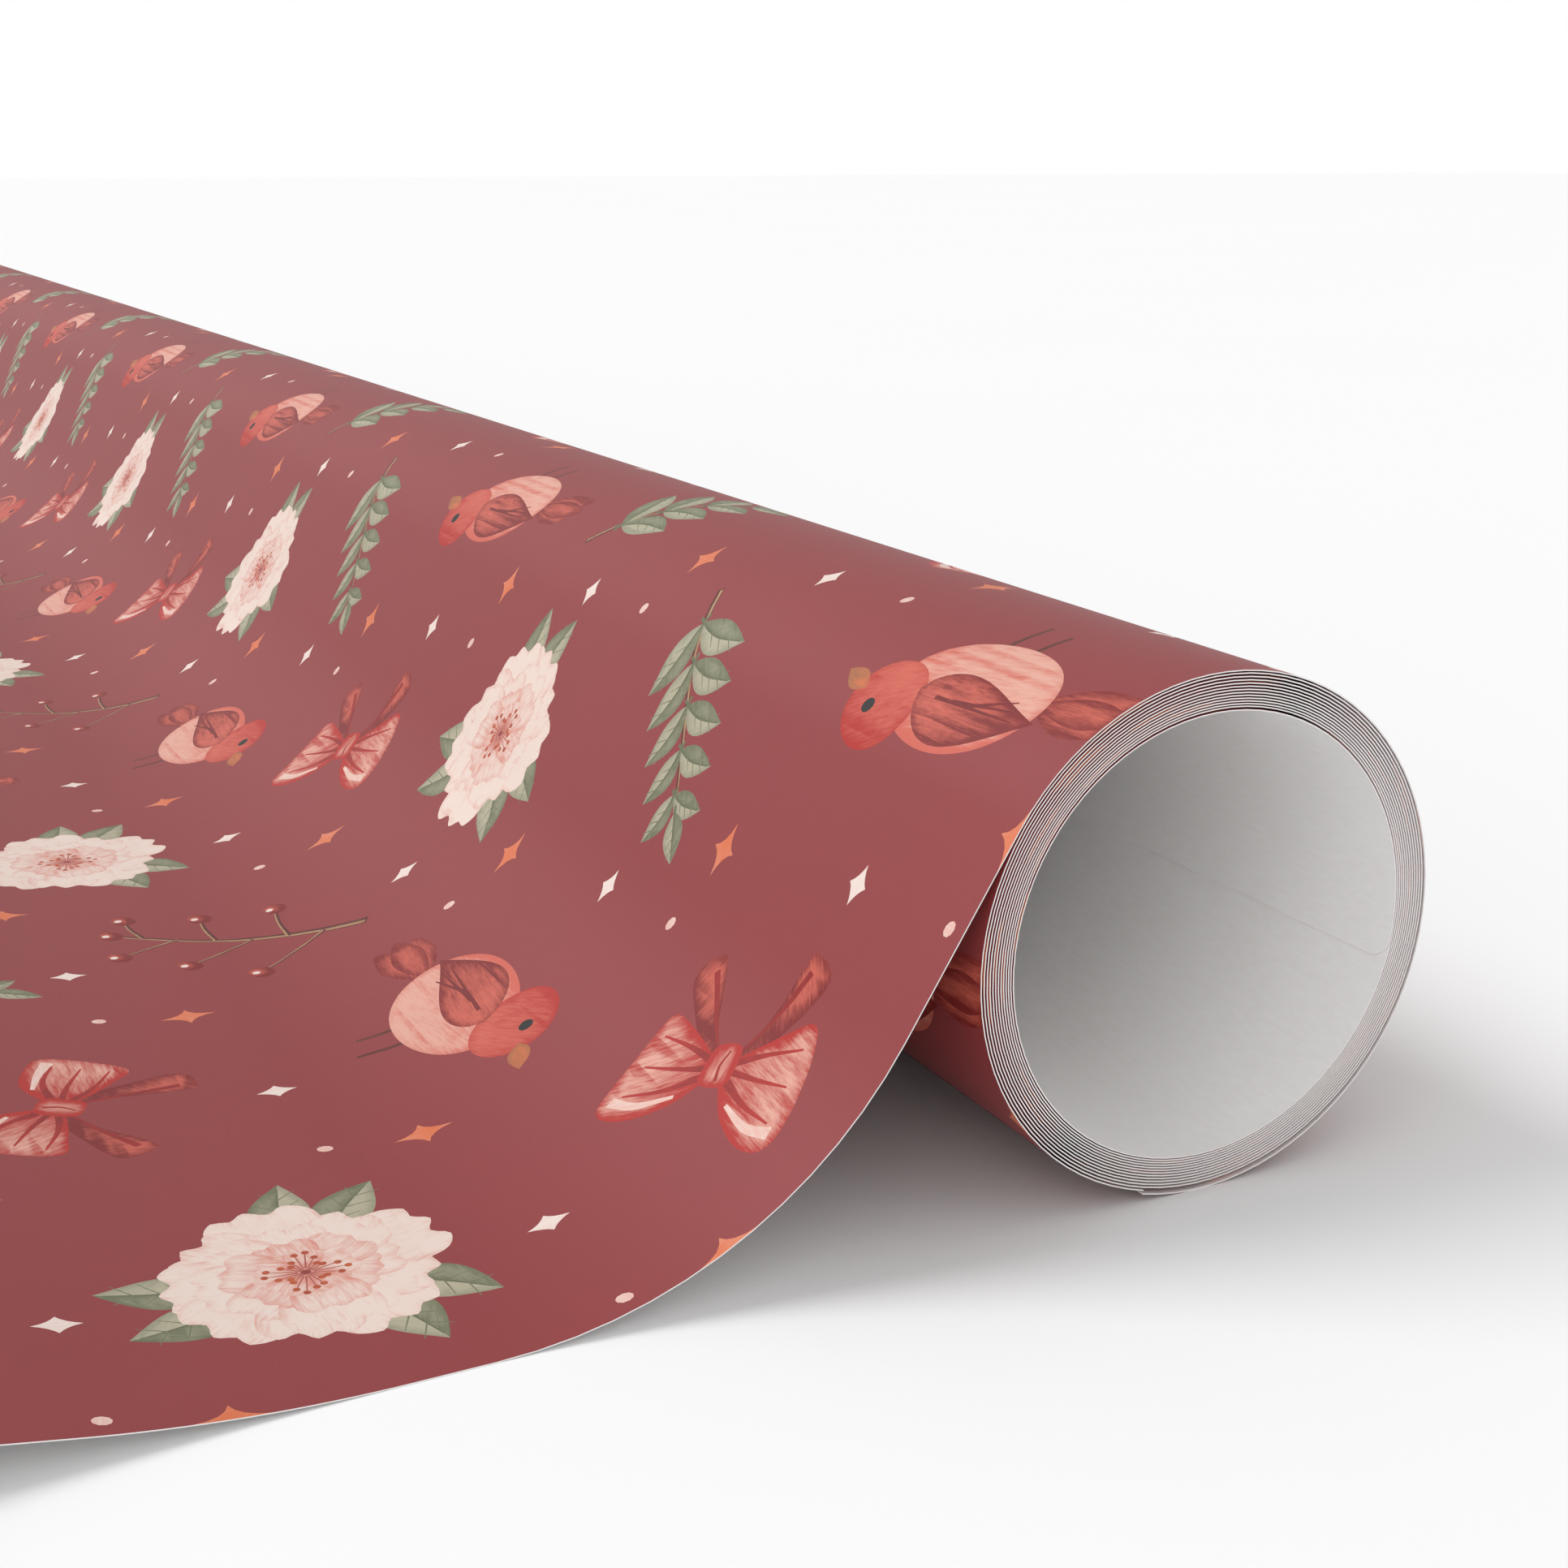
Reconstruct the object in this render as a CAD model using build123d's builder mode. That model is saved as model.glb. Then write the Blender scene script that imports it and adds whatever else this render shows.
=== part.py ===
"""A coreless roll of gift wrap with its outer end drawn off over a table.

The whole object is one strip of thin printed paper. Seen from the +X end, it starts inside the
roll, is wound anticlockwise with the print outwards, leaves the roll over its upper left, comes
down to the table and runs out along it to the leading edge. The model follows the strip from
its inner end to its leading edge and parts it into named stretches: the turns of the roll, the
loose wrap round them, the drawn sheet and the free end.

Frame: X along the roll's axis, Z up, origin on the axis in the middle of the paper's width.
"""
from build123d import *
from dataclasses import dataclass
from math import copysign, cos, radians, sin
import os

# The paper
paper_width = 762.0
paper_thickness = 0.10

# The roll, wound on itself with no core. Its turns lie closer at the centre than outside.
hollow_radius = 18.1
inner_pitch = 0.19
pitch_growth = 0.006
full_turns = 12
inner_end_angle = -15.0
seam_angle = 255.0
# What the second turn clears the inner end by, where it passes over it
end_gap = 0.04

# The last wrap, which turns loose round the roll
wrap_clearance = 0.12

# The sheet from where it leaves the roll to where it first lies on the table
leave_slope = 58.0
leave_run = 17.5
table_run = 6.0

# The free end, an arch that stands on its leading edge
free_length = 114.3
rise_radius = 120.0
rise_slope = 10.5
landing_slope = 16.0


@dataclass
class Bend:
    """A curved stretch: the radius of its plain face, and its turn, positive as the roll winds."""

    radius: float
    turn: float

    def length(self):
        """Its length along the middle of the paper."""
        return radians(abs(self.turn)) * (self.radius + copysign(paper_thickness / 2, self.turn))

    def draw(self, point, heading, outset):
        """Draws the face that lies outset from the plain face."""
        return JernArc(point, heading, self.radius + copysign(outset, self.turn), self.turn)


@dataclass
class Run:
    """A straight stretch."""

    distance: float

    def length(self):
        """Its length along the middle of the paper."""
        return self.distance

    def draw(self, point, heading, outset):
        """Draws one face. Both faces are alike."""
        return Line(point, point + heading * self.distance)


def pointing(angle):
    """The unit vector at an angle, in degrees, from +Y towards +Z."""
    return Vector(cos(radians(angle)), sin(radians(angle)))


def make_paper(node, start, heading, stretches):
    """Makes one node of the strip and returns where its plain face ends, heading there."""
    with BuildPart() as paper:
        with BuildSketch(Plane.YZ.offset(-paper_width / 2)):
            with BuildLine():
                ends = []
                for outset in (0, paper_thickness):
                    point = start + heading.rotate(Axis.Z, -90) * outset
                    ends.append(point)
                    direction = heading
                    for stretch in stretches:
                        face = stretch.draw(point, direction, outset)
                        point = face @ 1
                        direction = face % 1
                    ends.append(point)
                plain_start, plain_end, printed_start, printed_end = ends
                Line(plain_start, printed_start)
                Line(plain_end, printed_end)
            make_face()
        extrude(amount=paper_width)
    paper.part.label = node
    export_step(paper.part, f"parts/{node}.step")
    return plain_end, direction


os.makedirs("parts", exist_ok=True)

# The wound turns. The first is round, and stops short of a whole turn between the paper's inner
# end and the seam. From the seam on, the spiral is a chain of tangent half turns: the radius grows
# at the seam and at its far side, so each side of the roll moves out by twice what it grows there.
paper_length = 0.0
radius = hollow_radius
far_side = hollow_radius
point = pointing(inner_end_angle) * radius
heading = pointing(inner_end_angle + 90)
for turn in range(full_turns + 1):
    if turn == 0:
        stretches = [Bend(radius, seam_angle - inner_end_angle)]
    else:
        half_pitch = (inner_pitch + pitch_growth * turn) / 2
        first_step = paper_thickness + end_gap if turn == 1 else half_pitch
        first_half = Bend(radius + first_step, 180)
        second_half = Bend(first_half.radius + half_pitch, 180)
        stretches = [first_half, second_half]
        radius = second_half.radius
        far_side += 2 * first_step
    point, heading = make_paper(f"turn_{turn + 1:02}", point, heading, stretches)
    paper_length += sum(stretch.length() for stretch in stretches)

# The loose wrap is round and clears the wound turns on both sides.
wrap_radius = max(point.length, far_side) + paper_thickness + wrap_clearance
table_height = -wrap_radius - paper_thickness
leave_angle = leave_slope + 90
wrap = [Bend(wrap_radius, leave_angle - seam_angle + 360)]
point, heading = make_paper(
    "outer_wrap", pointing(seam_angle) * wrap_radius, pointing(seam_angle + 90), wrap
)

# The drawn sheet leaves the wrap in line with it and bends the other way, down to the table.
sweep_drop = point.Y - leave_run * sin(radians(leave_slope)) - table_height
sweep_radius = sweep_drop / (1 - cos(radians(leave_slope)))
drawn = [Run(leave_run), Bend(sweep_radius, -leave_slope), Run(table_run)]
point, heading = make_paper("drawn_sheet", point, heading, drawn)

# The free end rises from the table, runs on straight and arches over to stand on its edge. The
# straight run and the arch share what the rise leaves of its length, so that the edge comes
# back down to the table.
rise = Bend(rise_radius, -rise_slope)
rise_height = rise_radius * (1 - cos(radians(rise_slope)))
arch_turn = rise_slope + landing_slope
arch_drop = cos(radians(rise_slope)) - cos(radians(landing_slope))
climb = sin(radians(rise_slope))
left_over = free_length - rise.length() - radians(arch_turn) * paper_thickness / 2
arch_radius = (rise_height + left_over * climb) / (radians(arch_turn) * climb + arch_drop)
straight_run = left_over - radians(arch_turn) * arch_radius
free = [rise, Run(straight_run), Bend(arch_radius, arch_turn)]
hinge_line = point
point, heading = make_paper("free_end", point, heading, free)

paper_length += sum(stretch.length() for stretch in wrap + drawn + free)
print(f"paper {paper_width:.1f} x {paper_length:.1f} mm, {full_turns + 1} turns and a wrap")
print(f"table at Z {table_height:.3f}, free end hinged at Y {hinge_line.X:.3f}")
print(f"roll {2 * (wrap_radius + paper_thickness):.2f} mm across, sweep radius {sweep_radius:.2f}")
print(f"free end: straight run {straight_run:.2f}, arch radius {arch_radius:.2f}, edge at Z {point.Y:.4f}")
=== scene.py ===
from math import atan2, ceil, cos, degrees, hypot, pi, radians, sin, sqrt

import bpy
import numpy as np
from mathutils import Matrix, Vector
from mathutils.geometry import delaunay_2d_cdt


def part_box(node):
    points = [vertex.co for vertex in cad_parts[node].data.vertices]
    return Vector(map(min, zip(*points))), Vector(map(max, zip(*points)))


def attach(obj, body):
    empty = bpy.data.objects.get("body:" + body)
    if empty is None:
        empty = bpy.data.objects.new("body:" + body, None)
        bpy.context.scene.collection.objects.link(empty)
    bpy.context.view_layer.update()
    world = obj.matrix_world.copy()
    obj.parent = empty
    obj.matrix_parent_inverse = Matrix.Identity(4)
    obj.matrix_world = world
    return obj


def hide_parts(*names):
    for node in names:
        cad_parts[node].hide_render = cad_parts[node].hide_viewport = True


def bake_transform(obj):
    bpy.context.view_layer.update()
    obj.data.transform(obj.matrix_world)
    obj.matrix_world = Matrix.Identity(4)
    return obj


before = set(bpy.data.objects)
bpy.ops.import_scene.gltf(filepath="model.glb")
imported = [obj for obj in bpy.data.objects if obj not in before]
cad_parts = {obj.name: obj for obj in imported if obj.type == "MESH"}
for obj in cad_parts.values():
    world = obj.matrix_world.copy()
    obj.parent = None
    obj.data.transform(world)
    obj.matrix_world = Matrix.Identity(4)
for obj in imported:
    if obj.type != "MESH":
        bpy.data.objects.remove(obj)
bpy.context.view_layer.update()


# The web: the roll is one strip of thin coated paper, printed on one face and wound on itself with
# the print outwards. Lengths are in millimetres here, and Blender's metres come last, in the mesh.
# Seen from the +X end the strip starts inside the roll and is wound anticlockwise.
millimetre = 0.001
low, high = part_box("outer_wrap")
paper_width = (high.x - low.x) / millimetre
paper_thickness = 0.10
bend_step = 4.5


def round_bend(radius, turn, facet=1000.0):
    """A curved stretch: the radius of its plain face, and its turn, positive as the roll winds."""
    return {"radius": radius, "turn": turn, "length": radians(abs(turn)) * radius, "facet": facet}


def straight(distance, facet=1000.0):
    """A straight stretch, cut into facets no longer than the facet length given."""
    return {"radius": None, "turn": 0.0, "length": distance, "facet": facet}


class Strip:
    """One stretch of the web, as the points and the printed side's directions along its plain face."""

    def __init__(self, start, heading, stretches):
        point, angle, along = np.array(start), heading, 0.0
        points, sides, distances = [point], [angle - 90], [along]
        for part in stretches:
            steps = max(1, ceil(abs(part["turn"]) / bend_step), ceil(part["length"] / part["facet"]))
            side = 1 if part["turn"] > 0 else -1
            middle = part["length"] + radians(abs(part["turn"])) * side * paper_thickness / 2
            first, first_angle = point, angle
            for step in range(1, steps + 1):
                share = step / steps
                angle = first_angle + part["turn"] * share
                if part["radius"] is None:
                    point = first + part["length"] * share * self.towards(angle)
                else:
                    arm = side * part["radius"]
                    point = first + arm * (self.towards(first_angle + 90) - self.towards(angle + 90))
                points.append(point)
                sides.append(angle - 90)
                distances.append(along + middle * share)
            along += middle
        self.points, self.sides = np.array(points), np.array(sides)
        self.distances, self.length = np.array(distances), along
        self.end, self.heading = point, angle

    @staticmethod
    def towards(angle):
        """The unit vector at an angle, in degrees, from +Y towards +Z."""
        return np.array([cos(radians(angle)), sin(radians(angle))])

    def face(self, distances, outset):
        """Points on the face that lies outset from the plain one, and the printed side's directions."""
        turned = np.radians(self.sides)
        normals = np.stack([np.cos(turned), np.sin(turned)], axis=1)
        nodes = self.points + normals * outset
        place = [np.interp(distances, self.distances, nodes[:, k]) for k in (0, 1)]
        turned = np.interp(distances, self.distances, turned)
        return np.stack(place, axis=1), np.stack([np.cos(turned), np.sin(turned)], axis=1)


# The print: plain little birds, bows, blooms, leafy sprays and berries in watercolour, on old rose.
# They stand turned this way and that on a regular lattice, which repeats every seventh of the width.
# Each wash of colour is inlaid in the paper's printed face as faces of its own.
tile = paper_width / 7


def ink(red, green, blue):
    """An ink's own colour from how it looks in print, on the usual 0 to 255 scale.

    In even light the paper's sheen adds a little white, which is taken off again.
    """
    share = np.array([red, green, blue]) / 255
    light = np.where(share <= 0.04045, share / 12.92, ((share + 0.055) / 1.055) ** 2.4)
    sheen, daylight = 0.057, 1.256
    return np.maximum((light - sheen) / daylight, 0.004)


rose = ink(160, 86, 87)
blush, coral = ink(240, 184, 168), ink(220, 118, 104)
red, deep_red, mask = ink(192, 74, 66), ink(143, 46, 44), ink(84, 30, 30)
sage_light, sage, sage_deep = ink(196, 190, 166), ink(160, 160, 136), ink(108, 114, 90)
straw, twig, bark = ink(206, 172, 138), ink(160, 118, 90), ink(110, 72, 58)
petal, petal_shade, pistil = ink(250, 231, 220), ink(232, 160, 146), ink(150, 72, 62)
ember, snow, jet = ink(232, 130, 92), ink(252, 238, 230), ink(26, 16, 16)


class Wash:
    """One wash of watercolour: its outline, light and deep colour, and how the deep one gathers."""

    def __init__(self, outline, light, deep, tone=0.4, rim=0.25, stroke=0.0, fuzz=0.3):
        x, y = np.array(outline, float).T
        anticlockwise = (x * np.roll(y, -1) - np.roll(x, -1) * y).sum() > 0
        self.outline = np.stack([x, y], axis=1)[:: 1 if anticlockwise else -1]
        self.light, self.deep, self.tone = light, deep, tone
        self.rim, self.stroke, self.fuzz = rim, stroke, fuzz


def rounded(points, spacing=0.7):
    """A smooth closed outline through a few points."""
    points = np.array(points, float)
    outline = []
    for i in range(len(points)):
        a, b, c, d = (points[(i + k) % len(points)] for k in (-1, 0, 1, 2))
        steps = max(2, ceil(np.linalg.norm(c - b) / spacing))
        for t in np.arange(steps) / steps:
            bend = 2 * b + (c - a) * t + (2 * a - 5 * b + 4 * c - d) * t**2
            outline.append((bend + (3 * b - a - 3 * c + d) * t**3) / 2)
    return outline


def blade(base, tip, width, bow=0.0, widest=0.45, blunt=0.0, spacing=0.8):
    """A leaf or feather from base to tip, bowed sideways, with a pointed or a blunt tip."""
    base, tip = np.array(base, float), np.array(tip, float)
    along = tip - base
    across = np.array([-along[1], along[0]])
    steps = max(5, ceil(np.linalg.norm(along) / spacing))
    sides = []
    for side in (1, -1):
        for t in np.linspace(0, 1, steps + 1)[(side < 0) :]:
            swell = sin(pi * t ** (0.69 / -np.log(widest) if widest < 1 else 1))
            swell = max(swell, blunt * min(1, t / widest) * sqrt(max(0, 1 - t**8)))
            middle = base + along * t + across * bow * 4 * t * (1 - t)
            offset = across / np.linalg.norm(along) * width / 2 * swell * side
            sides.append((t, side, middle + offset))
    up = [p for t, side, p in sides if side > 0]
    down = [p for t, side, p in sides if side < 0 and t < 1]
    return up + down[::-1]


def line(points, start_width, end_width, spacing=1.0):
    """A brush line through a few points, tapering from one width to the other."""
    points = np.array(points, float)
    ends = np.vstack([2 * points[0] - points[1], points, 2 * points[-1] - points[-2]])
    course = []
    for a, b, c, d in zip(ends, ends[1:], ends[2:], ends[3:]):
        steps = max(1, ceil(np.linalg.norm(c - b) / spacing))
        for t in np.arange(steps) / steps:
            bend = 2 * b + (c - a) * t + (2 * a - 5 * b + 4 * c - d) * t**2
            course.append((bend + (3 * b - a - 3 * c + d) * t**3) / 2)
    course = np.array(course + [points[-1]])
    headings = np.gradient(course, axis=0)
    headings /= np.linalg.norm(headings, axis=1)[:, None]
    sides = np.stack([-headings[:, 1], headings[:, 0]], axis=1)
    widths = np.linspace(start_width, end_width, len(course))[:, None] / 2
    return np.vstack([course + sides * widths, (course - sides * widths)[::-1]])


def disc(centre, radius, squash=1.0, turn=0.0):
    """A round or oval spot."""
    count = max(8, ceil(2 * pi * radius / 0.5))
    angles = np.arange(count) * 2 * pi / count
    spot = np.stack([np.cos(angles) * radius, np.sin(angles) * radius * squash], axis=1)
    return spot @ turned(turn).T + np.array(centre)


def turned(angle):
    """The matrix that turns a drawing anticlockwise by an angle in degrees."""
    c, s = cos(radians(angle)), sin(radians(angle))
    return np.array([[c, -s], [s, c]])


def sparkle(size, colour, waist=0.16):
    """A four-pointed sparkle, taller than it is wide, with hollow sides."""
    outline = []
    tips = [(0.68 * size, 0), (0, size), (-0.68 * size, 0), (0, -size)]
    for tip, next_tip in zip(tips, tips[1:] + tips[:1]):
        hollow = (np.array(tip) + next_tip) * waist
        for t in (0, 0.25, 0.5, 0.75):
            ends = (1 - t) ** 2 * np.array(tip) + t**2 * np.array(next_tip)
            outline.append(ends + 2 * t * (1 - t) * hollow)
    return [Wash(outline, colour, blush, lambda x, y: 0.1 + 0.25 * np.hypot(x, y) / size, 0.0, 90, 0.4)]


def leaf(base, tip, width, bow=0.0, light=sage_light, deep=sage, dark=sage_deep):
    """A leaf in two halves, one in shade, with a fine midrib and side veins."""
    base, tip = np.array(base, float), np.array(tip, float)
    along = tip - base
    angle = degrees(atan2(along[1], along[0]))
    across = np.array([-along[1], along[0]])

    def on_rib(t):
        return base + along * t + across * bow * 4 * t * (1 - t)

    whole = blade(base, tip, width, bow)
    half = whole[: len(whole) // 2 + 1]
    middle = [on_rib(t) for t in np.linspace(1, 0, 8)[1:-1]]
    midrib = (-0.12, 0.2, 0.5, 0.92)
    washes = [
        Wash(whole, light, deep, 0.2, 0.55, angle + 40, 0.55),
        Wash(half + middle, deep, dark, 0.1, 0.45, angle - 40, 0.5),
        Wash(line([on_rib(t) for t in midrib], 0.42, 0.12), deep, dark, 0.7, 0.0, angle, 0.2),
    ]
    for t in (0.3, 0.5, 0.7):
        for side in (1, -1):
            end = on_rib(t + 0.16) + across / np.hypot(*across) * side * width * 0.36 * sin(pi * t)
            washes.append(Wash(line([on_rib(t), end], 0.16, 0.08), deep, dark, 0.55, 0.0, angle, 0.2))
    return washes


def shoot(points, start_width, end_width):
    """A twig: a bark-coloured line with a paler upper side."""
    points = np.array(points, float)
    angle = degrees(atan2(*(points[-1] - points[0])[::-1]))
    lit = points + np.array([-0.12, 0.2]) * start_width
    return [
        Wash(line(points, start_width, end_width), twig, bark, 0.5, 0.5, angle, 0.7),
        Wash(line(lit, start_width * 0.42, end_width * 0.42), straw, twig, 0.3, 0.2, angle, 0.8),
    ]


def bud(centre, size, turn, light=petal, deep=coral):
    """A small closed bud or berry with a lit side."""
    centre = np.array(centre, float)
    glint = centre + turned(turn) @ np.array([0.3, 0.25]) * size
    shade = lambda x, y: 0.45 - 0.5 * (y - centre[1]) / size
    return [
        Wash(disc(centre, size, 0.78, turn), light, deep, shade, 0.6, turn, 0.4),
        Wash(disc(glint, size * 0.28), snow, light, 0.2, 0.0, turn, 0.1),
    ]


def bird():
    """A plain little songbird looking along +x, put together from ovals and leaf shapes."""
    washes = []
    for k in (-1, 1, 0):
        feather = blade((-8.5, -2.0), (-20.5 + abs(k), -5.4 + 2.2 * k), 3.6, 0.0, 0.6, 0.7)
        washes.append(Wash(feather, coral, deep_red, 0.35, 0.5, 12, 0.6))
    for x in (-1.6, 2.0):
        washes.append(Wash(line([(x, -5.6), (x + 0.5, -10.2)], 0.6, 0.45), twig, bark, 0.5, 0.3, 90, 0.3))
    body = disc((-1.5, 0), 10.0, 0.66, 14)
    washes.append(Wash(body, blush, coral, lambda x, y: 0.4 + 0.07 * y, 0.4, 20, 0.7))
    washes.append(Wash(disc((7.4, 5.4), 4.9), coral, red, lambda x, y: 0.3 + 0.06 * (y - 4), 0.35, 40, 0.7))
    wing = blade((4.4, 2.4), (-12.0, -0.8), 7.6, -0.06, 0.35)
    washes.append(Wash(wing, coral, deep_red, lambda x, y: 0.3 - 0.03 * x, 0.5, 10, 0.7))
    for k in range(3):
        quill = line([(1.6 - 2.4 * k, 2.2 - 0.5 * k), (-9.6 + 0.8 * k, 0.2 - 0.9 * k)], 0.5, 0.15)
        washes.append(Wash(quill, deep_red, mask, 0.2, 0.0, 10, 0.3))
    washes.append(Wash(blade((11.2, 5.3), (15.6, 4.8), 2.4), ember, twig, 0.3, 0.3, 0, 0.3))
    washes.append(Wash(disc((8.8, 6.4), 0.8), jet, jet, 0.5, 0.0, 0, 0.0))
    return washes


def berries():
    """A straight twig with a round berry at the end of each side shoot."""
    washes = shoot([(0, -14), (0.5, -4), (0, 6), (0.3, 13)], 1.2, 0.5)
    for k in range(6):
        side = 1 if k % 2 else -1
        tip = (side * (8.6 - 0.7 * k), 4.0 * k - 5)
        washes += shoot([(0.3, 4.0 * k - 9), (tip[0] / 2, tip[1] - 1.8), tip], 0.6, 0.35)
        washes += bud(tip, 1.5, 60, coral, deep_red)
    return washes + bud((0.3, 14.4), 1.5, 60, coral, deep_red)


def spray():
    """A leafy spray: five pairs of leaves up a stem, smaller towards the tip."""
    washes = shoot([(0, -16), (0.8, -5), (0.4, 5), (0, 13)], 0.9, 0.4)
    for k in range(5):
        foot = np.array([0.5, 5.2 * k - 11])
        for side in (1, -1):
            tip = foot + turned(90 - side * 52) @ np.array([9.6 - 0.9 * k, 0])
            washes += leaf(foot, tip, 4.4 - 0.35 * k, side * 0.08)
    return washes + leaf((0, 12), (-0.4, 18), 3.0, 0.0)


def peony():
    """An open peony: three rings of ruffled petals round a crown of stamens, and leaves."""
    washes = []
    for turn in (20, 140, 260):
        for lean in (-14, 14):
            reach = turned(turn + lean)
            washes += leaf(reach @ np.array([6, 0]), reach @ np.array([16, 0]), 5.2, 0.06)
    rings = [(9, 11.2, 8.6, 8), (8, 8.6, 7.2, 28), (6, 6.2, 5.8, 50), (5, 3.9, 4.2, 14)]
    for count, reach, width, lean in rings:
        for k in range(count):
            turn = 360 * k / count + lean
            ruffle = 1 + 0.09 * sin(2.7 * k + count)
            shape = [(0.4, 0), (0.42 * reach, -0.42 * width), (0.8 * reach, -0.5 * width)]
            shape += [(0.97 * reach, -0.3 * width), (0.9 * reach, -0.12 * width), (1.0 * reach, 0.06 * width)]
            shape += [(0.92 * reach, 0.22 * width), (0.95 * reach, 0.38 * width)]
            shape += [(0.76 * reach, 0.52 * width)]
            shape += [(0.4 * reach, 0.4 * width)]
            outline = np.array(rounded(np.array(shape) * ruffle, 0.8)) @ turned(turn).T
            tone = lambda x, y, r=reach: 0.75 - 0.9 * np.hypot(x, y) / r + 0.25 * (r < 7)
            washes.append(Wash(outline, petal, petal_shade, tone, 0.42, turn, 0.75))
    for k in range(22):
        reach = 2.4 + 0.9 * sin(5.1 * k)
        tip = turned(360 * k / 22) @ np.array([reach, 0.0])
        washes.append(Wash(line([tip * 0.2, tip], 0.16, 0.1), petal_shade, pistil, 0.6, 0.0, 0, 0.2))
        washes.append(Wash(disc(tip, 0.32), ember, pistil, 0.5, 0.0, 0, 0.3))
    return washes


def bow(spread):
    """A tied ribbon bow: two loops, two tails and a knot. Spread opens the loops."""
    washes = []
    for side in (1, -1):
        tail = [(0.4, -0.4), (2.6, -3.4), (4.4, -7.6), (5.4, -8.2), (7.4, -6.4), (4.6, -2.8), (1.4, 0.2)]
        tail = [(x * side, y) for x, y in tail]
        shade = lambda x, y: 0.75 + 0.075 * y
        washes.append(Wash(rounded(tail), coral, deep_red, shade, 0.6, 90 - side * 30, 0.7))
        fold = line([(0.6 * side, -0.6), (3.0 * side, -3.6), (5.2 * side, -7.0)], 0.2, 0.6)
        washes.append(Wash(fold, red, deep_red, 0.6, 0.0, 90, 0.3))
        loop = [(0.4, 0.2), (2.6, 3.4), (6.0, 5.4 * spread), (8.4, 4.8 * spread), (8.6, 0.4)]
        loop += [(7.6, -3.4 * spread), (5.0, -2.8 * spread), (2.0, -1.2)]
        loop = [(x * side, y) for x, y in loop]
        shade = lambda x, y: 0.95 - 0.1 * np.abs(x) + 0.03 * np.abs(y)
        washes.append(Wash(rounded(loop), blush, red, shade, 0.6, side * 25, 0.8))
        for bend, width in [(2.6, 0.7), (0.6, 0.55), (-1.4, 0.6)]:
            course = [(0.9 * side, 0.25 * bend), (4.0 * side, bend * 0.9), (7.2 * side, bend * 1.3 * spread)]
            shade = lambda x, y: 0.8 - 0.1 * np.abs(x)
            washes.append(Wash(line(course, width, 0.15), red, deep_red, shade, 0.0, side * 20, 0.5))
        shine = line([(2.6 * side, 2.6), (5.4 * side, 3.9 * spread), (7.8 * side, 4.0 * spread)], 0.3, 0.9)
        washes.append(Wash(shine, snow, blush, 0.55, 0.0, side * 25, 0.6))
    knot = [(-1.3, 1.3), (1.2, 1.4), (1.5, -0.2), (1.2, -1.6), (-1.1, -1.7), (-1.5, 0.0)]
    washes.append(Wash(rounded(knot), blush, red, lambda x, y: 0.35 + 0.3 * np.abs(x), 0.6, 90, 0.6))
    tuck = line([(-0.3, 1.0), (0.1, -0.1), (-0.2, -1.3)], 0.3, 0.2)
    washes.append(Wash(tuck, red, deep_red, 0.5, 0.0, 90, 0.2))
    return washes


def placed(washes, place, turn=0.0, size=1.0):
    """Sets a motif down on the tile, turned and sized."""
    for wash in washes:
        wash.outline = wash.outline @ turned(turn).T * size + np.array(place)
        wash.place, wash.turn, wash.size = np.array(place), turn, size
    return washes


# Three columns of three motifs on the tile, each column a third of a step further on than the last,
# with sparkles and dots in the gaps between them.
cell = tile / 3
lattice = [
    [(bird(), -8, 0.95), (bow(1.0), 20, 1.25), (peony(), 200, 0.95)],
    [(spray(), 38, 0.95), (bird(), 165, 0.95), (bow(0.8), -26, 1.25)],
    [(peony(), 10, 0.95), (berries(), -32, 1.0), (spray(), 150, 0.95)],
]
toss = []
for column, motifs in enumerate(lattice):
    for row, (motif, turn, size) in enumerate(motifs):
        drop = row + column / 3
        toss.append(placed(motif, ((column + 0.5) * cell, (drop + 0.5) * cell), turn, size))
        toss.append(placed(sparkle(2.6, ember), (column * cell, (drop + 0.76) * cell)))
        toss.append(placed(sparkle(1.8, snow, 0.3), ((column + 0.42) * cell, drop * cell)))
        dot = Wash(disc((0, 0), 0.7, 0.8, 70), snow, blush, 0.3, 0.3, 0, 0.4)
        toss.append(placed([dot], ((column + 0.05) * cell, (drop + 0.98) * cell)))
washes = [wash for motif in toss for wash in motif]


def inside(points, outline):
    """Which points lie within an outline."""
    hits = np.zeros(len(points), bool)
    for a, b in zip(outline, np.roll(outline, -1, axis=0)):
        crosses = (a[1] > points[:, 1]) != (b[1] > points[:, 1])
        with np.errstate(divide="ignore", invalid="ignore"):
            level = (b[0] - a[0]) * (points[:, 1] - a[1]) / (b[1] - a[1]) + a[0]
        hits ^= crosses & (points[:, 0] < level)
    return hits


# Points laid inside each broad wash, so that its colour can run across it.
run_spacing = 1.5
for wash in washes:
    least, most = wash.outline.min(0), wash.outline.max(0)
    wash.least, wash.most = least, most
    across, up = np.meshgrid(
        np.arange(least[0], most[0], run_spacing), np.arange(least[1], most[1], run_spacing * 0.87)
    )
    across = across + run_spacing / 2 * (np.arange(len(across)) % 2)[:, None]
    spots = np.stack([across.ravel(), up.ravel()], axis=1)
    wash.spots = spots[inside(spots, wash.outline)] if callable(wash.tone) and len(spots) > 12 else spots[:0]


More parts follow.
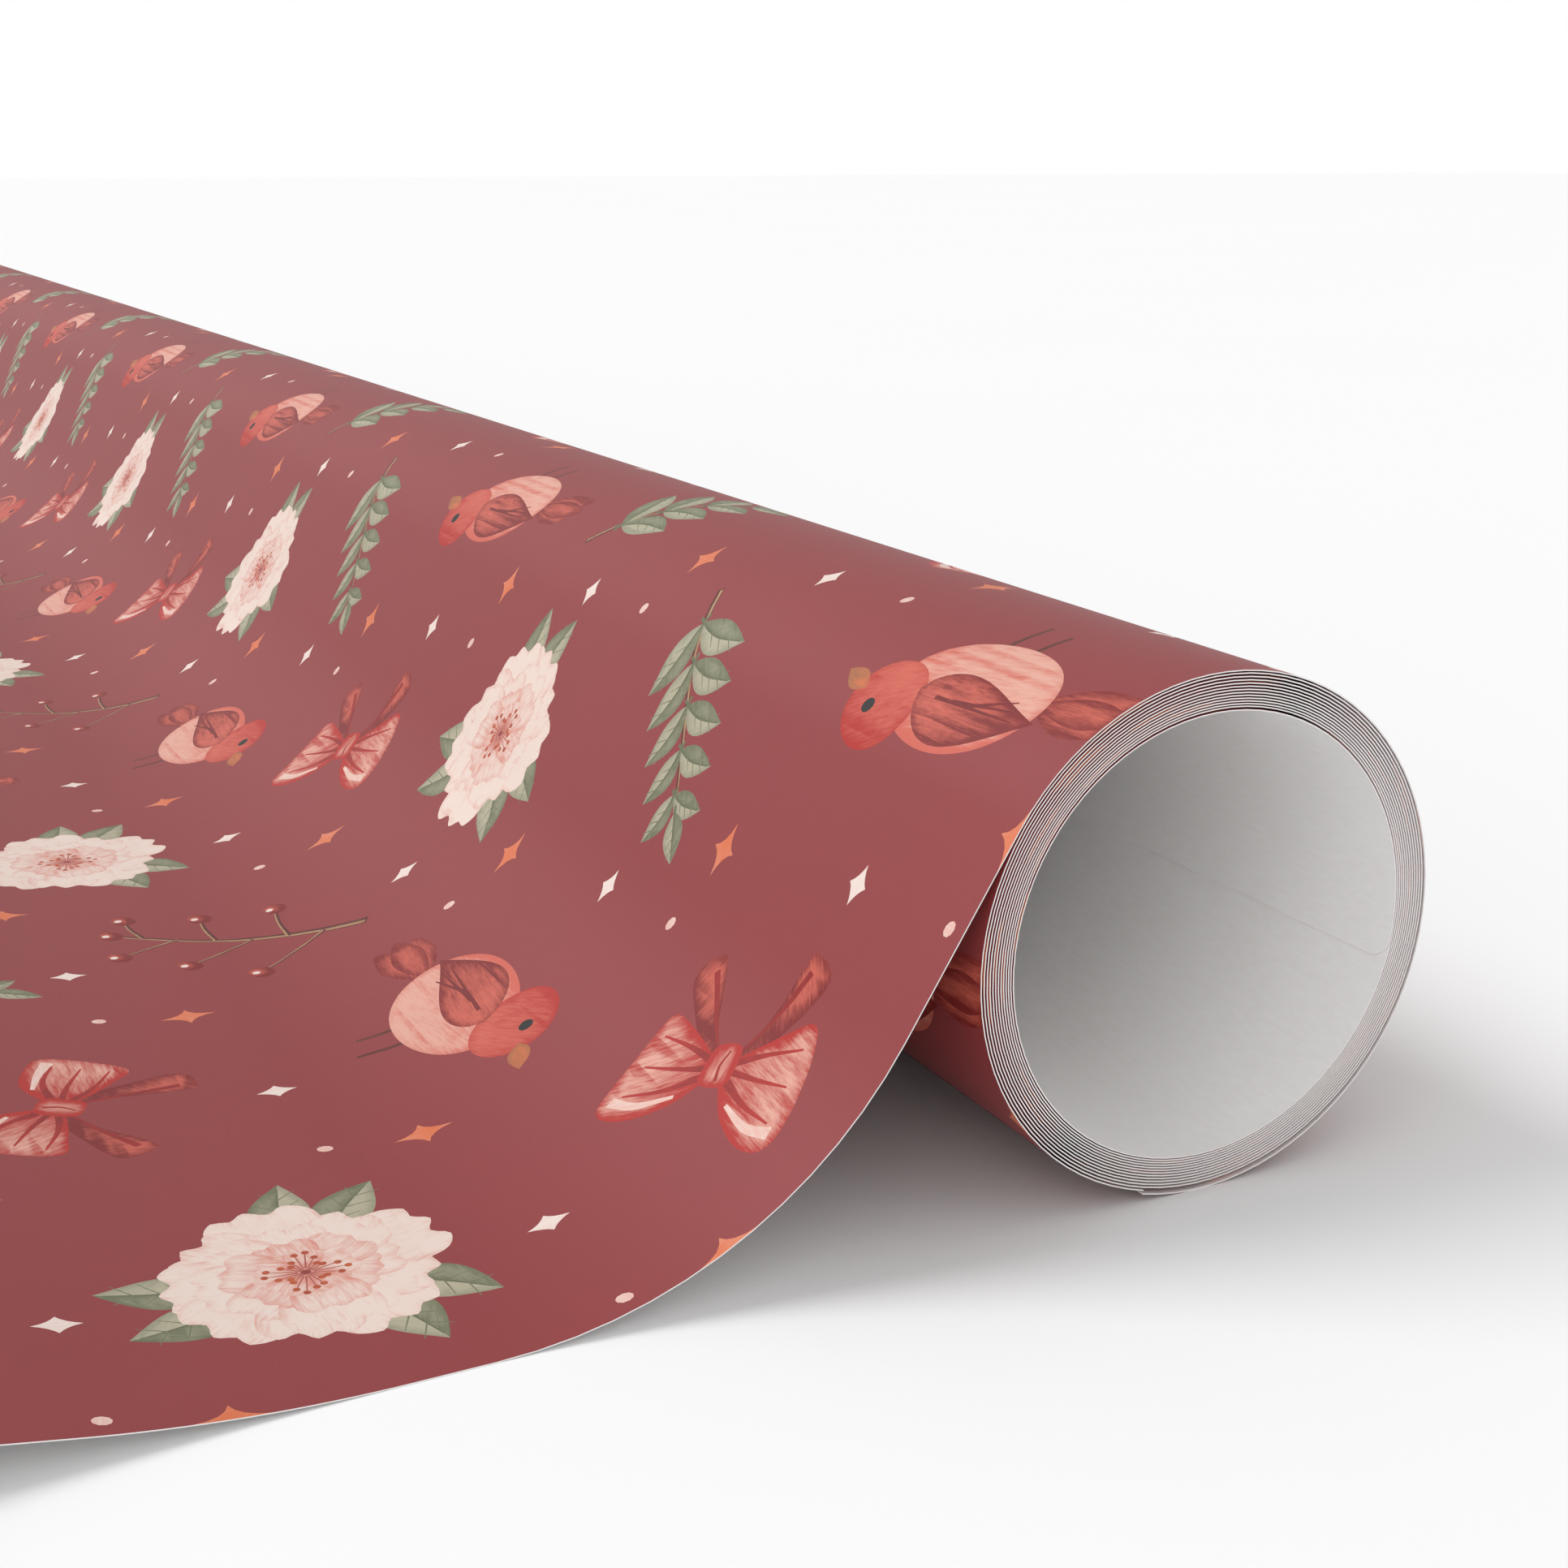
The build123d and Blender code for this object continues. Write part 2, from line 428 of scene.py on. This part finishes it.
def away_from(points, outline):
    """How far each point is from an outline."""
    sides = np.roll(outline, -1, axis=0) - outline
    gaps = points[:, None] - outline
    share = np.clip((gaps * sides).sum(2) / np.maximum((sides**2).sum(1), 1e-12), 0, 1)
    return np.linalg.norm(gaps - share[:, :, None] * sides, axis=2).min(1)


def paint(wash, points):
    """A wash's tone and its brush's course at points on the tile."""
    x, y = ((points - wash.place) @ turned(wash.turn) / wash.size).T
    tone = (wash.tone(x, y) if callable(wash.tone) else wash.tone) + np.zeros(len(points))
    if wash.rim:
        tone = tone + wash.rim * np.exp(-((away_from(points, wash.outline) / 0.55) ** 2))
    course = np.stack([x, y], axis=1) @ turned(wash.stroke)
    return tone, course


class Wire:
    """A value that runs through a material. Arithmetic on it adds the nodes that work it out."""

    def __init__(self, finish, socket):
        self.finish, self.socket = finish, socket

    def maths(self, operation, *values):
        inputs = dict(enumerate(values))
        return self.finish.add("Math", {"operation": operation}, inputs)

    def __add__(self, other):
        return self.maths("ADD", self, other)

    def __sub__(self, other):
        return self.maths("SUBTRACT", self, other)

    def __rsub__(self, other):
        return self.maths("SUBTRACT", other, self)

    def __mul__(self, other):
        return self.maths("MULTIPLY", self, other)

    __radd__, __rmul__ = __add__, __mul__


class Finish:
    """A material in the making."""

    def __init__(self, name):
        self.material = bpy.data.materials.new(name)
        self.material.use_nodes = True
        self.nodes = self.material.node_tree.nodes
        self.nodes.clear()

    def add(self, kind, settings=None, inputs=None, output=0):
        """Adds a node: its settings first, then the values or wires of its sockets."""
        node = self.nodes.new("ShaderNode" + kind)
        for name, value in (settings or {}).items():
            setattr(node, name, value)
        for socket, value in (inputs or {}).items():
            if isinstance(value, Wire):
                self.material.node_tree.links.new(value.socket, node.inputs[socket])
            else:
                node.inputs[socket].default_value = value
        return Wire(self, node.outputs[output]) if len(node.outputs) else None

    def noise(self, place, scale, detail=2.0, roughness=0.5):
        """Soft cloudy variation from 0 to 1."""
        inputs = {"Vector": place, "Scale": scale, "Detail": detail, "Roughness": roughness}
        return self.add("TexNoise", {}, inputs)

    def mix(self, share, first, second, blend="MIX"):
        """One colour over another."""
        settings = {"data_type": "RGBA", "blend_type": blend}
        return self.add("Mix", settings, {0: share, 6: first, 7: second}, 2)

    def ramp(self, value, start, end, low, high):
        """An eased change from low to high as value goes from start to end."""
        inputs = {"Value": value, "From Min": start, "From Max": end, "To Min": low, "To Max": high}
        return self.add("MapRange", {"interpolation_type": "SMOOTHSTEP"}, inputs)

    def grain(self, height, distance, strength=1.0):
        """The fine relief of the surface."""
        return self.add("Bump", {}, {"Height": height, "Distance": distance, "Strength": strength})

    def done(self, **sockets):
        """Closes the material with the paper's shader."""
        inputs = {name.replace("_", " "): value for name, value in sockets.items()}
        shader = self.add("BsdfPrincipled", {}, inputs)
        self.add("OutputMaterial", {}, {"Surface": shader})
        return self.material


# The printed face: ink on coated paper with a low satin sheen. Each wash runs between its two inks
# along the lie of the brush, pools a little unevenly, and lets the paper's tooth show.
finish = Finish("printed_paper")
light_ink = finish.add("Attribute", {"attribute_name": "light_ink"})
deep_ink = finish.add("Attribute", {"attribute_name": "deep_ink"})
tone = finish.add("Attribute", {"attribute_name": "tone"}, {}, 2)
fuzz = finish.add("Attribute", {"attribute_name": "fuzz"}, {}, 2)
brush = finish.add("Attribute", {"attribute_name": "brush"}, {}, 1)
bristles = finish.noise(
    finish.add("VectorMath", {"operation": "MULTIPLY"}, {0: brush, 1: (0.42, 3.1, 1.0)}), 1.0, 3.0, 0.62
)
hairs = finish.noise(
    finish.add("VectorMath", {"operation": "MULTIPLY"}, {0: brush, 1: (0.9, 7.5, 1.0)}), 1.0, 2.0, 0.6
)
pooling = finish.noise(brush, 0.33, 3.0, 0.6)
streaks = bristles * 0.62 + hairs * 0.38 - 0.5
depth = finish.ramp(tone + streaks * fuzz * 2.2 + (pooling - 0.5) * 0.45, 0.0, 1.0, 0.0, 1.0)
painted = finish.mix(depth, light_ink, deep_ink)
place = finish.add("TexCoord", {}, {}, 3)
tooth = finish.noise(place, 5200.0, 2.0, 0.7)
cloud = finish.noise(place, 60.0, 3.0, 0.55)
worn = finish.add("HueSaturation", {}, {"Color": painted, "Value": 0.94 + tooth * 0.07 + cloud * 0.06})
printed_face = finish.done(
    Base_Color=worn,
    Roughness=0.44 + tooth * 0.14,
    Normal=finish.grain(tooth, 0.00002, 0.5),
    IOR=1.46,
)

# The plain face: the same paper without ink, a cool white that the coating leaves slightly silky.
finish = Finish("plain_paper")
place = finish.add("TexCoord", {}, {}, 3)
drawn_out = finish.add("VectorMath", {"operation": "MULTIPLY"}, {0: place, 1: (600.0, 2600.0, 2600.0)})
fibres = finish.noise(drawn_out, 1.0, 3.0, 0.6)
cloud = finish.noise(place, 45.0, 3.0, 0.5)
mottle = finish.ramp(fibres * 0.6 + cloud * 0.4, 0.3, 0.7, 0.0, 1.0)
bare = finish.mix(mottle, (0.89, 0.87, 0.86, 1.0), (0.94, 0.925, 0.915, 1.0))
plain_face = finish.done(
    Base_Color=bare,
    Roughness=0.5 + fibres * 0.12,
    Normal=finish.grain(fibres, 0.00002, 0.35),
    IOR=1.46,
)

# The cut edge: where the slitter went through, the paper's white body shows between its two faces.
finish = Finish("cut_edge")
body = finish.noise(finish.add("TexCoord", {}, {}, 3), 2500.0, 3.0, 0.6)
cut_edge = finish.done(
    Base_Color=finish.mix(body, (0.74, 0.70, 0.69, 1.0), (0.88, 0.86, 0.85, 1.0)), Roughness=0.75 + body * 0.1
)


def paper(name, strip, start, shown=paper_width, corner=0.0):
    """Makes a stretch of paper as one closed thin sheet, its print starting at a place on the web.

    The print is inlaid where it can be seen, that far in from both ends of the roll. A corner
    radius rounds the corners of the strip's first end.
    """
    edges = strip.distances
    length = edges[-1]
    outline = [(0.0, 0.0), (paper_width, 0.0), (paper_width, length), (0.0, length)]
    if corner:
        arc = [(corner * (1 - sin(a)), corner * (1 - cos(a))) for a in np.linspace(0, pi / 2, 7)]
        outline = arc[::-1] + [(paper_width - x, y) for x, y in arc] + outline[2:]
    points, faces, creases = list(outline), [list(range(len(outline)))], []
    laid, shifts = [-1], [np.zeros(2)]
    rows = range(int((start - tile) // tile), int((start + length) // tile) + 1)
    for column in range(-1, 8):
        for row in rows:
            shift = np.array([column * tile, row * tile - start])
            for number, wash in enumerate(washes):
                least, most = wash.least + shift, wash.most + shift
                if most[0] < 0 or least[0] > paper_width or most[1] < 0 or least[1] > length:
                    continue
                if least[0] > shown and most[0] < paper_width - shown:
                    continue
                faces.append(list(range(len(points), len(points) + len(wash.outline))))
                laid.append(number)
                shifts.append(shift)
                points.extend(wash.outline + shift)
                spots = wash.spots + shift
                held = (spots > 0.2).all(1) & (spots[:, 0] < paper_width - 0.2) & (spots[:, 1] < length - 0.2)
                points.extend(spots[held])
    for level in edges[1:-1]:
        reach = float(np.interp(level, [y for _, y in arc], [x for x, _ in arc])) if level < corner else 0.0
        creases.append((len(points), len(points) + 1))
        points += [(reach, level), (paper_width - reach, level)]
    folds = max(1, round(sqrt(paper_width / length)))
    for fold in range(1, folds):
        creases.append((len(points), len(points) + 1))
        points += [(paper_width * fold / folds, 0.0), (paper_width * fold / folds, length)]
    flat, _, triangles, _, _, owners = delaunay_2d_cdt(
        [Vector(p) for p in points], creases, faces, 1, 1e-5, True
    )
    flat = np.array([tuple(p) for p in flat])
    top = np.array([max(owner) if 0 in owner else -1 for owner in owners])
    triangles = np.array(triangles)[top >= 0]
    top = top[top >= 0]
    # Washes run off the paper's edges, and what lies beyond them is trimmed away.
    kept, renumbered = np.unique(triangles, return_inverse=True)
    flat, triangles = flat[kept], renumbered.reshape(-1, 3)
    a, b, c = (flat[triangles[:, k]] for k in range(3))
    area = (b[:, 0] - a[:, 0]) * (c[:, 1] - a[:, 1]) - (b[:, 1] - a[:, 1]) * (c[:, 0] - a[:, 0])
    triangles[area < 0] = triangles[area < 0][:, ::-1]

    # The rim of the printed face, and the plain face on the same rim.
    sides = triangles[:, [0, 1, 1, 2, 2, 0]].reshape(-1, 2)
    key = sides.min(1) * len(flat) + sides.max(1)
    _, first, count = np.unique(key, return_index=True, return_counts=True)
    rim = sides[first[count == 1]]
    rim_points = np.unique(rim)
    renamed = {int(p): i for i, p in enumerate(rim_points)}
    follows = {int(p): int(q) for p, q in rim}
    loop = [int(rim_points[0])]
    while follows[loop[-1]] != loop[0]:
        loop.append(follows[loop[-1]])
    back_creases = []
    for level in edges[1:-1]:
        ends = [p for p in loop if abs(flat[p, 1] - level) < 1e-4]
        if len(ends) >= 2:
            ends.sort(key=lambda p: flat[p, 0])
            back_creases.append((renamed[ends[0]], renamed[ends[-1]]))
    _, _, back, came_from, _, _ = delaunay_2d_cdt(
        [Vector(flat[p]) for p in rim_points], back_creases, [[renamed[p] for p in loop]], 1, 1e-6, True
    )
    back = np.array([[came_from[p][0] for p in face] for face in back])
    a, b, c = (flat[rim_points][back[:, k]] for k in range(3))
    area = (b[:, 0] - a[:, 0]) * (c[:, 1] - a[:, 1]) - (b[:, 1] - a[:, 1]) * (c[:, 0] - a[:, 0])
    back[area > 0] = back[area > 0][:, ::-1]

    # Both faces rolled up on the strip's course, and the cut edges between them.
    printed, out = strip.face(flat[:, 1], paper_thickness)
    plain, _ = strip.face(flat[rim_points, 1], 0.0)
    centre_x = (low.x + high.x) / 2 / millimetre
    x = centre_x + paper_width / 2 - flat[:, 0]
    places = np.vstack(
        [np.column_stack([x, printed]), np.column_stack([x[rim_points], plain])]
    )
    shift = len(flat)
    rim_back = np.array([[renamed[int(p)] + shift for p in pair] for pair in rim])
    quads = np.column_stack([rim[:, 1], rim[:, 0], rim_back[:, 0], rim_back[:, 1]])
    corners = np.concatenate([triangles.ravel(), (back + shift).ravel(), quads.ravel()])
    sizes = np.concatenate([np.full(len(triangles) + len(back), 3), np.full(len(quads), 4)])
    mesh = bpy.data.meshes.new(name)
    mesh.vertices.add(len(places))
    mesh.vertices.foreach_set("co", (places * millimetre).ravel())
    mesh.loops.add(len(corners))
    mesh.loops.foreach_set("vertex_index", corners.astype(np.int32))
    mesh.polygons.add(len(sizes))
    mesh.polygons.foreach_set("loop_start", (np.cumsum(sizes) - sizes).astype(np.int32))
    mesh.update(calc_edges=True)
    slots = np.concatenate([np.zeros(len(triangles)), np.ones(len(back)), np.full(len(quads), 2)])
    mesh.polygons.foreach_set("material_index", slots.astype(np.int32))
    for material in (printed_face, plain_face, cut_edge):
        mesh.materials.append(material)

    # Smooth faces that turn with the paper, and square edges.
    front = np.column_stack([np.zeros(len(flat)), out])
    rim_out = front[rim_points]
    run = flat[rim[:, 1]] - flat[rim[:, 0]]
    angle = np.arctan2(out[rim[:, 0], 1], out[rim[:, 0], 0]) + pi / 2
    edge = np.column_stack([-run[:, 1], -run[:, 0] * np.cos(angle), -run[:, 0] * np.sin(angle)])
    edge /= np.linalg.norm(edge, axis=1)[:, None]
    normals = np.vstack([front[triangles.ravel()], -rim_out[back.ravel()], np.repeat(edge, 4, axis=0)])

    # The print's inks, tone and brush marks at each corner of the printed face.
    spread = flat[triangles.ravel()]
    owner = np.repeat(top, 3)
    total = len(corners)
    light, deep = np.ones((total, 4)), np.ones((total, 4))
    tones, fuzzes, courses = np.full(total, 0.5), np.full(total, 0.0), np.zeros((total, 3))
    here = np.flatnonzero(owner == 0)
    light[here, :3], deep[here, :3] = rose * 1.04, rose * 0.95
    courses[here, :2] = spread[here] + [0, start]
    fuzzes[here] = 0.25
    vertex = triangles.ravel()
    kinds = np.array(laid)[owner]
    order = np.argsort(kinds, kind="stable")
    starts = np.searchsorted(kinds[order], np.arange(len(washes) + 1))
    shifts = np.array(shifts)
    for number, wash in enumerate(washes):
        here = order[starts[number] : starts[number + 1]]
        if not len(here):
            continue
        _, first, same = np.unique(vertex[here], return_index=True, return_inverse=True)
        once = here[first]
        tone, course = paint(wash, spread[once] - shifts[owner[once]])
        tones[here], courses[here, :2] = tone[same], course[same]
        courses[here, 2] = 3.7 * number
        light[here, :3], deep[here, :3], fuzzes[here] = wash.light, wash.deep, wash.fuzz
    for kind, label, values in [("FLOAT_COLOR", "light_ink", light), ("FLOAT_COLOR", "deep_ink", deep)]:
        colours = values.astype(np.float32).ravel()
        mesh.attributes.new(label, kind, "CORNER").data.foreach_set("color", colours)
    for label, values in [("tone", tones), ("fuzz", fuzzes)]:
        mesh.attributes.new(label, "FLOAT", "CORNER").data.foreach_set("value", values.astype(np.float32))
    courses = courses.astype(np.float32).ravel()
    mesh.attributes.new("brush", "FLOAT_VECTOR", "CORNER").data.foreach_set("vector", courses)

    # A flat layout of the piece for baking, the long printed face folded into rows.
    row_length = paper_width / folds
    gap = 2.0
    across = max(row_length, folds * (length + gap) + 0.1 * row_length) + gap
    middle = spread.reshape(-1, 3, 2).mean(1)[:, 0]
    row = np.repeat(np.clip(middle // row_length, 0, folds - 1), 3)
    unfolded = np.column_stack([spread[:, 0] - row * row_length, row * (length + gap) + spread[:, 1]])
    floor_v = folds * (length + gap)
    rest = flat[rim_points][back.ravel()]
    back_uv = np.column_stack([rest[:, 0] / folds, floor_v + rest[:, 1] / length * 0.07 * row_length])
    ends = flat[rim].reshape(-1, 2)[np.repeat(np.arange(len(rim)) * 2, 4) + np.tile([1, 0, 0, 1], len(rim))]
    edge_v = floor_v + 0.08 * row_length + ends[:, 1] / length * 0.01 * row_length
    edge_uv = np.column_stack([ends[:, 0] / folds, edge_v])
    layout = np.vstack([unfolded, back_uv, edge_uv]) / across + 0.001
    mesh.uv_layers.new(name="OFBake").data.foreach_set("uv", layout.astype(np.float32).ravel())
    mesh.normals_split_custom_set(normals.astype(np.float32))
    piece = bpy.data.objects.new(name, mesh)
    bpy.context.scene.collection.objects.link(piece)
    return piece


# The roll's turns, from the inner end of the web outwards. There is no core: the first turn springs
# round against the second, and stops short of a whole turn. Each turn is wound a little looser
# than the one inside it.
hollow_radius, inner_pitch, pitch_growth, full_turns = 18.1, 0.19, 0.006, 12
inner_end, seam, end_gap = -15.0, 255.0, 0.04
centre_turns = 4
start = hollow_radius * Strip.towards(inner_end)
turns = [Strip(start, inner_end + 90, [round_bend(hollow_radius, seam - inner_end)])]
radius, far_side = hollow_radius, hollow_radius
for turn in range(1, full_turns + 1):
    half_pitch = (inner_pitch + pitch_growth * turn) / 2
    first_step = paper_thickness + end_gap if turn == 1 else half_pitch
    first_half = round_bend(radius + first_step, 180)
    second_half = round_bend(radius + first_step + half_pitch, 180)
    turns.append(Strip(turns[-1].end, turns[-1].heading, [first_half, second_half]))
    radius += first_step + half_pitch
    far_side += 2 * first_step

# Where the print's repeat falls on the web, from the seam between the roll and its loose wrap
print_start = -66.8
web = print_start - sum(strip.length for strip in turns)
centre_slide = 62.0
edge_only = 1.0
for number, strip in enumerate(turns, 1):
    shown = {centre_turns: centre_slide, full_turns + 1: paper_width}.get(number, edge_only)
    corner = 1.8 if number == 1 else 0.0
    piece = paper(f"turn_{number:02}_paper", strip, web, shown, corner)
    web += strip.length
    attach(piece, "roll_centre" if number <= centre_turns else "wound_roll")
    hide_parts(f"turn_{number:02}")
    "printed_paper" if number > full_turns else "plain_paper"
    neighbour = f"turn_{number - 1:02}" if number > 1 else "turn_02"

# The loose wrap: the last turn of paper, lying round the wound ones with a little air between.
wrap_clearance, leave_slope = 0.12, 58.0
wrap_radius = max(hypot(*turns[-1].end), far_side) + paper_thickness + wrap_clearance
wrap_strip = Strip(
    wrap_radius * Strip.towards(seam), seam + 90, [round_bend(wrap_radius, leave_slope + 90 - seam + 360)]
)
wrap = paper("outer_wrap_paper", wrap_strip, web)
web += wrap_strip.length
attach(wrap, "sheet")
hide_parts("outer_wrap")

# The drawn sheet leaves the roll over its upper side, comes down straight and sweeps on to the table.
leave_run, table_run = 17.5, 6.0
table = low.z / millimetre
drop = wrap_strip.end[1] - leave_run * sin(radians(leave_slope)) - table
sweep_radius = drop / (1 - cos(radians(leave_slope)))
drawn_strip = Strip(
    wrap_strip.end,
    wrap_strip.heading,
    [straight(leave_run), round_bend(sweep_radius, -leave_slope), straight(table_run)],
)
drawn = paper("drawn_sheet_paper", drawn_strip, web)
web += drawn_strip.length
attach(drawn, "sheet")
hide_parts("drawn_sheet")

# The free end arches over the table and stands on its slit leading edge. Its first bend and its
# straight run are cut into short facets.
free_length, rise_radius, rise_slope, landing_slope = 114.3, 120.0, 10.5, 16.0
arch_turn = rise_slope + landing_slope
climb = sin(radians(rise_slope))
arch_drop = cos(radians(rise_slope)) - cos(radians(landing_slope))
rise_length = radians(rise_slope) * (rise_radius - paper_thickness / 2)
left_over = free_length - rise_length - radians(arch_turn) * paper_thickness / 2
rise_height = rise_radius * (1 - cos(radians(rise_slope)))
arch_radius = (rise_height + left_over * climb) / (radians(arch_turn) * climb + arch_drop)
straight_run = left_over - radians(arch_turn) * arch_radius
hand_facet = 1.4
free_strip = Strip(
    drawn_strip.end,
    drawn_strip.heading,
    [
        round_bend(rise_radius, -rise_slope, hand_facet),
        straight(straight_run, hand_facet),
        round_bend(arch_radius, arch_turn),
    ],
)
free = paper("free_end_paper", free_strip, web)
hinge_y, hinge_z = drawn_strip.end * millimetre
bend_room = 0.030
hinge_y - bend_room
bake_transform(free)
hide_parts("free_end")


# The table: a plain pale studio floor, level with the lowest line of the roll.
finish = Finish("pale_floor")
place = finish.add("TexCoord", {}, {}, 3)
haze = finish.noise(place, 3.0, 2.0, 0.5)
floor_look = finish.done(
    Base_Color=finish.mix(haze, (0.835, 0.835, 0.835, 1.0), (0.85, 0.85, 0.85, 1.0)), Roughness=0.9
)
mesh = bpy.data.meshes.new("floor")
reach = 8.0
corners = [(-reach, -reach, low.z), (reach, -reach, low.z), (reach, reach, low.z), (-reach, reach, low.z)]
mesh.from_pydata(corners, [], [(0, 1, 2, 3)])
mesh.materials.append(floor_look)
floor = bpy.data.objects.new("floor", mesh)
bpy.context.scene.collection.objects.link(floor)

# The light: an even pale room with a white backdrop, one large soft lamp high on the left and a
# little behind the roll, and a weak broad one in front that reaches into the hollow.
world = bpy.data.worlds.new("studio")
world.use_nodes = True
nodes, links = world.node_tree.nodes, world.node_tree.links
seen = nodes.new("ShaderNodeLightPath")
strength = nodes.new("ShaderNodeMapRange")
room_light, backdrop = 0.70, 1.0
strength.inputs["To Min"].default_value = room_light
strength.inputs["To Max"].default_value = backdrop
links.new(seen.outputs["Is Camera Ray"], strength.inputs["Value"])
background = nodes["Background"]
background.inputs["Color"].default_value = (1.0, 1.0, 1.0, 1.0)
links.new(strength.outputs["Result"], background.inputs["Strength"])
bpy.context.scene.world = world
for label, energy, spread, falling in [
    ("soft_lamp", 1.65, 32, (0.42, 0.60, -0.80)),
    ("front_fill", 0.75, 70, (-0.70, 0.66, -0.28)),
]:
    lamp_data = bpy.data.lights.new(label, "SUN")
    lamp_data.energy = energy
    lamp_data.angle = radians(spread)
    lamp = bpy.data.objects.new(label, lamp_data)
    bpy.context.scene.collection.objects.link(lamp)
    lamp.rotation_euler = Vector(falling).to_track_quat("-Z", "Y").to_euler()

# The camera stands close to the roll's open end, a little above it, and looks along the roll.
camera_data = bpy.data.cameras.new("camera")
camera_data.sensor_width = 36.0
camera_data.lens = 50.1
camera_data.clip_start = 0.01
camera = bpy.data.objects.new("camera", camera_data)
bpy.context.scene.collection.objects.link(camera)
camera.location = (high.x + 0.1275, -0.1004, 0.0582)
yaw, pitch = radians(26.42), radians(16.06)
looking = Vector((-cos(yaw) * cos(pitch), sin(yaw) * cos(pitch), -sin(pitch)))
camera.rotation_euler = looking.to_track_quat("-Z", "Y").to_euler()
bpy.context.scene.camera = camera
bpy.context.scene.view_settings.view_transform = "Standard"
